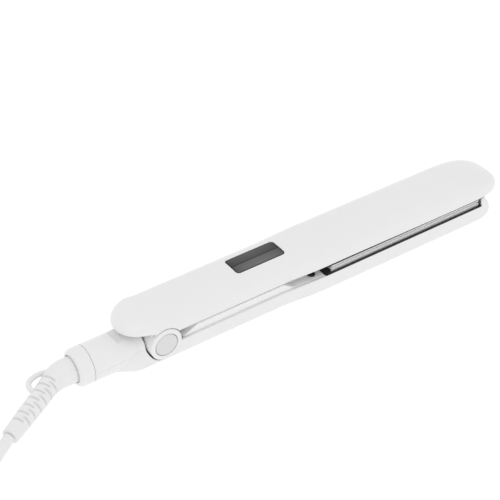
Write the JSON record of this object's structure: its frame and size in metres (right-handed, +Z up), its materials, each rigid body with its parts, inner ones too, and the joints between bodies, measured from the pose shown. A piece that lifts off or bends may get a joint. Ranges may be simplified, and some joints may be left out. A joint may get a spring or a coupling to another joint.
{
  "type": "hair straightener",
  "caption": "Slim flat iron with two hinged arms, floating heated plates, a display in the upper arm, a sliding lock collar and a swivelling mains cord.",
  "frame": {"origin": "middle of the iron's length and width (lock collar to upper nose, without the cord), on the surface it lies on", "axes": "+X along the iron towards the nose, +Y across it to the left of the nose direction, +Z up through the upper arm"},
  "size_m": [0.5005, 0.0652, 0.0322],
  "materials": {
    "white_gloss": "glossy moulded white",
    "white_satin": "satin moulded white",
    "hinge_cap": "satin light grey",
    "soft_white": "soft matt white",
    "plug_white": "matt moulded white",
    "black_plastic": "fine matt black",
    "plate_metal": "polished and coated",
    "heater_ceramic": "fired ceramic",
    "board_green": "solder mask",
    "display_glass": "tinted gloss window",
    "lcd_grey": "reflective liquid crystal panel",
    "button_grey": "satin grey",
    "steel": "drawn wire and ground pin",
    "bronze": "sintered bronze",
    "screw_dark": "black oxide",
    "terminal_ivory": "ivory nylon",
    "lead_insulation": "heat resistant insulation",
    "tie_grey": "soft dark strap",
    "pin_metal": "nickel plated"
  },
  "bodies": {
    "lower_arm": {"lower_shell": "white_gloss", "tail_cover": "white_gloss", "swivel_bearing": "white_satin", "lower_inner_cover": "white_satin", "lower_bezel": "black_plastic", "lower_carrier": "black_plastic", "lower_plate_springs": "steel", "hinge_barrel": "white_satin", "hinge_bushes": "bronze", "hinge_spring": "steel", "terminal_block": "terminal_ivory", "mains_leads": "lead_insulation", "lower_heater_leads": "lead_insulation", "lower_screws": "screw_dark", "tail_screw": "screw_dark", "cord": "soft_white", "cord_hank": "soft_white", "cord_end": "soft_white", "cord_tie": "tie_grey", "plug_body": "plug_white", "plug_pins": "pin_metal"},
    "lower_plate": {"lower_plate": "plate_metal", "lower_heater": "heater_ceramic", "lower_sensor": "board_green"},
    "upper_arm": {"upper_shell": "white_gloss", "hinge_yoke": "white_gloss", "hinge_pin": "steel", "hinge_caps": "hinge_cap", "upper_inner_cover": "white_satin", "display_window": "display_glass", "lcd_module": "lcd_grey", "control_board": "board_green", "tact_switches": "black_plastic", "upper_bezel": "black_plastic", "upper_carrier": "black_plastic", "upper_plate_springs": "steel", "upper_heater_leads": "lead_insulation", "upper_screws": "screw_dark", "thermal_fuse": "heater_ceramic"},
    "upper_plate": {"upper_plate": "plate_metal", "upper_heater": "heater_ceramic", "upper_sensor": "board_green"},
    "power_button": {"power_button": "button_grey"},
    "plus_button": {"plus_button": "button_grey"},
    "minus_button": {"minus_button": "button_grey"},
    "lock": {"lock_collar": "white_gloss", "lock_bar": "white_satin"},
    "cord_swivel": {"swivel_spindle": "white_satin", "swivel_retainer": "steel", "strain_relief": "soft_white", "hang_loop": "soft_white"}
  },
  "joints": [
    {"name": "arm_hinge", "type": "hinge", "parent": "lower_arm", "child": "upper_arm", "pos_m": [-0.09265, 0, 0.0145], "axis": [0, -1, 0], "range_deg": [0, 12]},
    {"name": "lower_plate_float", "type": "slide", "parent": "lower_arm", "child": "lower_plate", "axis": [0, 0, 1], "range_m": [-0.0008, 0], "stiffness_N_per_m": 4000, "springref_m": 0.0003, "deforming": ["lower_plate_springs"]},
    {"name": "upper_plate_float", "type": "slide", "parent": "upper_arm", "child": "upper_plate", "axis": [0, 0, 1], "range_m": [0, 0.0008], "stiffness_N_per_m": 4000, "springref_m": -0.0003, "deforming": ["upper_plate_springs"]},
    {"name": "power_press", "type": "slide", "parent": "upper_arm", "child": "power_button", "axis": [0, 0, 1], "range_m": [0, 0.0006], "stiffness_N_per_m": 800, "springref_m": -0.0002},
    {"name": "plus_press", "type": "slide", "parent": "upper_arm", "child": "plus_button", "axis": [0, 0, 1], "range_m": [0, 0.0006], "stiffness_N_per_m": 800, "springref_m": -0.0002},
    {"name": "minus_press", "type": "slide", "parent": "upper_arm", "child": "minus_button", "axis": [0, 0, 1], "range_m": [0, 0.0006], "stiffness_N_per_m": 800, "springref_m": -0.0002},
    {"name": "lock_slide", "type": "slide", "parent": "lower_arm", "child": "lock", "axis": [-1, 0, 0], "range_m": [0, 0.0035]},
    {"name": "cord_swivel", "type": "hinge", "parent": "lower_arm", "child": "cord_swivel", "pos_m": [-0.13135, 0, 0.0103], "axis": [-1, 0, 0], "continuous": true}
  ]
}
